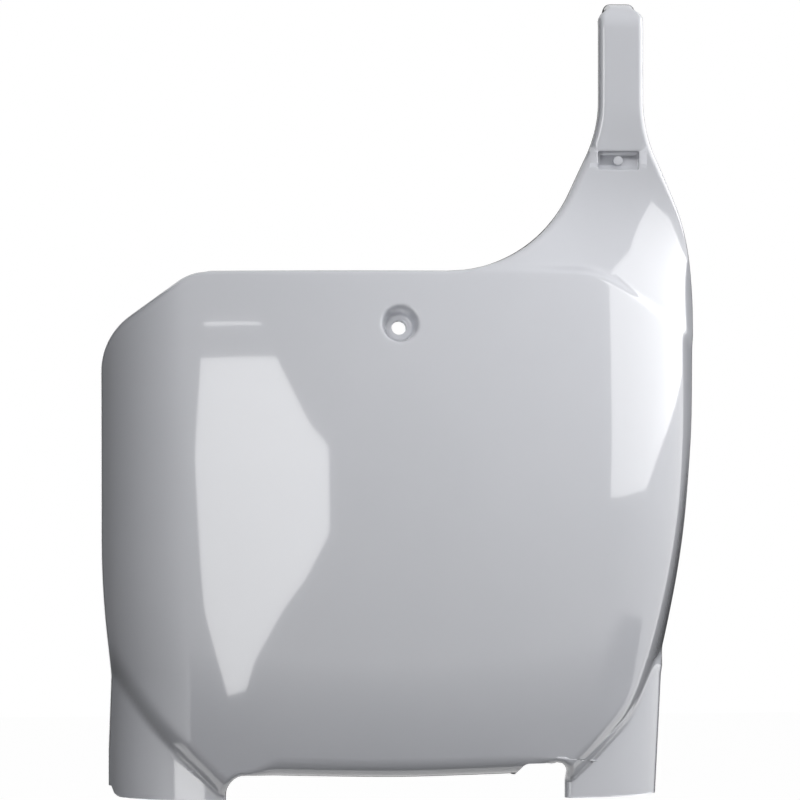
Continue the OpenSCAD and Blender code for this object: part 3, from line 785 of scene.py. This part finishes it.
def add_pocket(skin):
    """Pocket in the arm."""
    floor_y = float(front(POCKET_X, POCKET_Z)) + POCKET_D
    half = np.array([POCKET_W, POCKET_H]) / 2
    centre = np.array([POCKET_X, POCKET_Z])
    clear = half + POCKET_CLEAR + POCKET_T

    def inside(co):
        off = np.abs(np.array([co.x, co.z]) - centre)
        return bool((off < clear).all()) and co.y < floor_y + POCKET_REACH_Y

    rim = skin.rim(inside)
    spots = np.array([(v.co.x, v.co.z) for v in rim])

    def outline(grown):
        """Places on the pocket's outline, grown by this much, nearest to the rim's."""
        corner = max(POCKET_R + grown, 0.0001)
        core = half + grown - corner
        off = spots - centre
        held = np.clip(off, -core, core)
        away = off - held
        return centre + held + corner * away / np.linalg.norm(away, axis=1)[:, None]

    # Rings: growth of the outline and share of the depth, on the outer and on the inner side
    profile = [
        (0.0014, 0.0, 0.0024, 0.0),
        (0.0004, 0.0, 0.0020, 0.0),
        (0.0001, 0.03, 0.0019, 0.1),
        (0.0, 0.12, 0.0018, 0.2),
        (0.0, 0.92, 0.0018, 0.9),
        (-0.0001, 0.98, 0.0017, 0.98),
        (-0.0005, 1.0, 0.0013, 1.0),
        (-0.0015, 1.0, 0.0003, 1.0),
    ]
    chain = rim
    for grown, depth, inner_grown, inner_depth in profile:
        x, z = outline(grown).T
        y = mix(front(x, z), floor_y, depth)
        inner_x, inner_z = outline(inner_grown).T
        inner_y = mix(front(x, z) + WALL, floor_y + POCKET_T, inner_depth)
        points = np.stack([x, y, z], 1), np.stack([inner_x, inner_y, inner_z], 1)
        chain = skin.extend(chain, points, closed=True)
    skin.bm.faces.new(chain)


def add_peg(bm):
    """Peg on the pocket's floor, with a rounded top edge."""
    floor_y = float(front(POCKET_X, POCKET_Z)) + POCKET_D
    sunk = POCKET_T / 2
    middle = Vector((POCKET_X, floor_y + (sunk - PEG_H) / 2, POCKET_Z))
    made = bmesh.ops.create_cone(
        bm, cap_ends=True, segments=48, radius1=PEG_D / 2, radius2=PEG_D / 2, depth=PEG_H + sunk,
        matrix=Matrix.Translation(middle) @ Matrix.Rotation(math.pi / 2, 4, "X"),
    )["verts"]
    top_y = floor_y - PEG_H + TOUCH
    top = [e for v in made for e in v.link_edges if all(w.co.y < top_y for w in e.verts)]
    bmesh.ops.bevel(
        bm, geom=list(dict.fromkeys(top)), offset=PEG_ROUND_R, offset_type="OFFSET", segments=3, profile=0.5,
        affect="EDGES", material=-1,
    )


def make_board(box):
    """The board as one object, kept within this box."""
    skin = Skin()
    section = add_board(skin)
    add_strap(skin, section)
    add_dimple(skin)
    add_pocket(skin)
    skin.thicken()
    bm = skin.bm
    sharp = [e for e in bm.edges if e.is_manifold and e.calc_face_angle() > RIM_ANGLE]
    bmesh.ops.bevel(
        bm, geom=sharp, offset=RIM_R, offset_type="OFFSET", segments=2, profile=0.5,
        affect="EDGES", material=-1, clamp_overlap=True,
    )
    add_peg(bm)
    for v in bm.verts:
        v.co = [min(max(c, low), high) for c, low, high in zip(v.co, *box)]
    for face in bm.faces:
        face.smooth = True
    mesh = bpy.data.meshes.new("number_board_skin")
    bm.to_mesh(mesh)
    bm.free()
    board = bpy.data.objects.new("number_board_skin", mesh)
    bpy.context.scene.collection.objects.link(board)
    return board


class Wire:
    """Shader socket that takes arithmetic."""

    def __init__(self, shader, socket):
        self.shader = shader
        self.socket = socket

    def math(self, operation, *values):
        return self.shader.node("ShaderNodeMath", {"operation": operation}, *values)

    def __add__(self, other):
        return self.math("ADD", self, other)

    def __sub__(self, other):
        return self.math("SUBTRACT", self, other)

    def __mul__(self, other):
        return self.math("MULTIPLY", self, other)

    def __rsub__(self, other):
        return self.math("SUBTRACT", other, self)

    __radd__ = __add__
    __rmul__ = __mul__

    def between(self, low, high):
        """0 below low, 1 above high."""
        return self.shader.node("ShaderNodeMapRange", {"clamp": True}, self, low, high, 0.0, 1.0)


class Shader:
    """Node tree of one material."""

    def __init__(self, name):
        self.material = bpy.data.materials.new(name)
        self.material.use_nodes = True
        self.tree = self.material.node_tree
        self.tree.nodes.clear()

    @classmethod
    def of(cls, tree):
        """The same for a node tree that is there already."""
        made = cls.__new__(cls)
        made.tree = tree
        tree.nodes.clear()
        return made

    def node(self, kind, settings, *values, output=0, **named):
        """Node with its settings, then values or links by place or by name."""
        made = self.tree.nodes.new(kind)
        for key, value in settings.items():
            setattr(made, key, value)
        by_name = [(made.inputs[key.replace("_", " ")], value) for key, value in named.items()]
        for slot, value in list(zip(made.inputs, values)) + by_name:
            if isinstance(value, Wire):
                self.tree.links.new(value.socket, slot)
            elif value is not None:
                slot.default_value = value
        return Wire(self, made.outputs[output])

    def close(self, surface):
        end = self.tree.nodes.new("ShaderNodeOutputMaterial")
        self.tree.links.new(surface.socket, end.inputs["Surface"])
        return self.material

    def place(self, scale=(1, 1, 1), turn=(0, 0, 0)):
        """Object coordinates, turned and scaled."""
        at = self.node("ShaderNodeTexCoord", {}, output=3)
        return self.node("ShaderNodeMapping", {}, at, (0, 0, 0), turn, scale)

    def value(self, number):
        return self.node("ShaderNodeMath", {}, number, 0.0)

    def blend(self, share, a, b):
        """Colour between two others."""
        made = self.node("ShaderNodeMix", {"data_type": "RGBA"}, share, output=2)
        slots = made.socket.node.inputs
        slots[6].default_value, slots[7].default_value = a, b
        return made

    def scuff(self, turn, shift):
        """Faint scratches that run at this turn about the Y axis."""
        here = self.node("ShaderNodeTexCoord", {}, output=3)
        at = self.node("ShaderNodeMapping", {}, here, shift, (0, turn, 0), SCUFF_SCALE)
        lines = self.noise(at, 1.0, 2.0)
        patch = self.noise(self.place((24, 24, 24)), 1.0, 2.0)
        return lines.between(0.68, 0.74) * patch.between(0.52, 0.7)

    def noise(self, at, scale, detail=2.0, roughness=0.5):
        return self.node("ShaderNodeTexNoise", {}, at, None, scale, detail, roughness)


def plastic():
    """Cool white polypropylene, moulded glossy, with the finest handling marks."""
    s = Shader("gloss_white_plastic")
    at = s.place()
    cloud = s.noise(at, 14.0, 3.0)
    drift = s.noise(at, 38.0, 2.0)
    speck = s.noise(at, 1400.0, 1.0)
    tone = s.blend(cloud.between(0.3, 0.7), COOL_WHITE, PALE_WHITE)
    scuffs = sum((s.scuff(turn, shift) for turn, shift in SCUFFS), s.value(0.0))
    rough = cloud * 0.02 + speck * 0.02 + scuffs * 0.12 + GLOSS
    height = drift * 0.5 + speck * 0.04 - scuffs * 0.1
    bump = s.node("ShaderNodeBump", {}, 0.06, 0.0004, None, height)
    body = s.node(
        "ShaderNodeBsdfPrincipled", {}, Base_Color=tone, Roughness=rough, Normal=bump,
        IOR=PLASTIC_IOR, Coat_Weight=1.0, Coat_Roughness=0.03,
    )
    return s.close(body)


def seen_plainly(shader):
    """1 for what the camera sees directly, in a gloss or through glass, else 0."""
    rays = [shader.node("ShaderNodeLightPath", {}, output=k) for k in (0, 3, 6)]
    either = rays[0].math("MAXIMUM", rays[0], rays[1])
    return either.math("MAXIMUM", either, rays[2])


def matt(name, colour, glow):
    """Matt surface that takes shadows, brighter by this much where it is seen plainly."""
    s = Shader(name)
    surface = s.node("ShaderNodeBsdfDiffuse", {}, colour)
    light = s.node("ShaderNodeEmission", {}, (1, 1, 1, 1), seen_plainly(s) * glow)
    return s.close(s.node("ShaderNodeAddShader", {}, surface, light))


def direction(azimuth, elevation):
    """Unit vector that points here, in degrees round from the front and up."""
    a, e = math.radians(azimuth), math.radians(elevation)
    return Vector((math.sin(a) * math.cos(e), -math.cos(a) * math.cos(e), math.sin(e)))


def add_lamp(name, azimuth, elevation, distance, width, height, power):
    """Soft light on the board from this direction, with no highlight of its own."""
    away = direction(azimuth, elevation)
    lamp = bpy.data.lights.new(name, "AREA")
    lamp.shape = "RECTANGLE"
    lamp.size = width
    lamp.size_y = height
    lamp.energy = power
    box = bpy.data.objects.new(name, lamp)
    box.location = AIM + away * distance
    box.rotation_euler = away.to_track_quat("Z", "Y").to_euler()
    box.visible_glossy = False
    bpy.context.scene.collection.objects.link(box)


def add_card(name, place, turn, width, height, glow_side):
    """Dark card, out of the picture, that glows towards one side (-1 or 1, 0 for none); the glow is seen
    only in gloss, a painted reflection on the board, while the card stays dark to diffuse light.
    """
    bm = bmesh.new()
    bmesh.ops.create_grid(bm, x_segments=1, y_segments=1, size=0.5)
    mesh = bpy.data.meshes.new(name)
    bm.to_mesh(mesh)
    bm.free()
    card = bpy.data.objects.new(name, mesh)
    card.location = place
    card.rotation_euler = turn
    card.scale = (width, height, 1)
    card.visible_camera = False
    s = Shader(name)
    across = s.node("ShaderNodeSeparateXYZ", {}, s.node("ShaderNodeTexCoord", {}, output=3), output=0)
    # Painted reflection: an emitted glow towards the glow side, seen only in gloss, not light that falls on
    # the card
    pale = (across * glow_side).between(0.0, 0.5) * seen_plainly(s)
    shade = s.node("ShaderNodeCombineColor", {}, pale, pale, pale)
    dark = s.node("ShaderNodeBsdfDiffuse", {}, CARD_BLACK)
    glow = s.node("ShaderNodeEmission", {}, shade, 1.0)
    mesh.materials.append(s.close(s.node("ShaderNodeAddShader", {}, dark, glow)))
    bpy.context.scene.collection.objects.link(card)


def add_side_card(name, azimuth, distance, width, height, glow_side):
    """Dark card that stands beside the board."""
    away = direction(azimuth, 0)
    add_card(name, AIM + away * distance, away.to_track_quat("Z", "Y").to_euler(), width, height, glow_side)


def add_window(name, azimuth, elevation, distance, corners, glow):
    """Flat softbox that faces the board from this direction, with its corners in these directions."""
    facing = direction(azimuth, elevation)
    rays = [direction(*corner) for corner in corners]
    bm = bmesh.new()
    bm.faces.new([bm.verts.new(AIM + ray * (distance / ray.dot(facing))) for ray in rays])
    mesh = bpy.data.meshes.new(name)
    bm.to_mesh(mesh)
    bm.free()
    box = bpy.data.objects.new(name, mesh)
    box.visible_camera = False
    s = Shader(name)
    mesh.materials.append(s.close(s.node("ShaderNodeEmission", {}, (1, 1, 1, 1), glow)))
    bpy.context.scene.collection.objects.link(box)


def light_stage():
    add_window("left_softbox", azimuth=-24, elevation=2, distance=1.2, corners=LEFT_WINDOW, glow=4.2)
    add_window("left_streak", azimuth=-24, elevation=2, distance=1.2, corners=LEFT_STREAK, glow=4.7)
    add_window("right_softbox", azimuth=87, elevation=15, distance=1.2, corners=RIGHT_WINDOW, glow=3.6)
    add_lamp("key_light", azimuth=30, elevation=52, distance=1.5, width=1.4, height=1.0, power=11)
    add_side_card("left_card", azimuth=-97, distance=0.6, width=1.54, height=1.1, glow_side=1)
    add_side_card("right_card", azimuth=156, distance=0.7, width=0.78, height=1.1, glow_side=0)
    on_floor = Vector((0, -0.8, FLOOR_Z + 0.01))
    add_card("floor_card", on_floor, turn=(0, 0, -math.pi / 2), width=1.6, height=5, glow_side=1)
    world = bpy.data.worlds.new("studio")
    bpy.context.scene.world = world
    world.use_nodes = True
    s = Shader.of(world.node_tree)
    strength = seen_plainly(s) * (1 - ROOM_LIGHT) + ROOM_LIGHT
    room = s.node("ShaderNodeBackground", {}, (1, 1, 1, 1), strength)
    end = s.tree.nodes.new("ShaderNodeOutputWorld")
    s.tree.links.new(room.socket, end.inputs["Surface"])


def add_camera():
    """Long lens a little to the board's left, level with its middle."""
    turn = math.radians(CAMERA_AZIMUTH)
    away = Vector((math.sin(turn), -math.cos(turn), 0))
    lens = bpy.data.cameras.new("camera")
    lens.sensor_width = SENSOR * 1000
    lens.lens = SENSOR * 1000 * CAMERA_DISTANCE / (PIXEL * PICTURE)
    camera = bpy.data.objects.new("camera", lens)
    aside = Vector((math.cos(turn), math.sin(turn), 0))
    camera.location = away * CAMERA_DISTANCE + aside * SHIFT_X + Vector((0, 0, SHIFT_Z))
    camera.rotation_euler = away.to_track_quat("Z", "Y").to_euler()
    bpy.context.scene.collection.objects.link(camera)
    bpy.context.scene.camera = camera


def add_floor():
    bm = bmesh.new()
    bmesh.ops.create_grid(bm, x_segments=1, y_segments=1, size=FLOOR_SIZE)
    mesh = bpy.data.meshes.new("floor")
    bm.to_mesh(mesh)
    bm.free()
    floor = bpy.data.objects.new("floor", mesh)
    floor.location.z = FLOOR_Z
    bpy.context.scene.collection.objects.link(floor)
    floor.data.materials.append(matt("pale_floor", FLOOR_GREY, FLOOR_GLOW))


def main():
    cad_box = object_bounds()
    board = make_board(cad_box)
    board.data.materials.append(plastic())
    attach(board, "root")
    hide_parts("number_board")
    add_floor()
    light_stage()
    add_camera()
    bpy.context.scene.view_settings.view_transform = "Standard"


main()
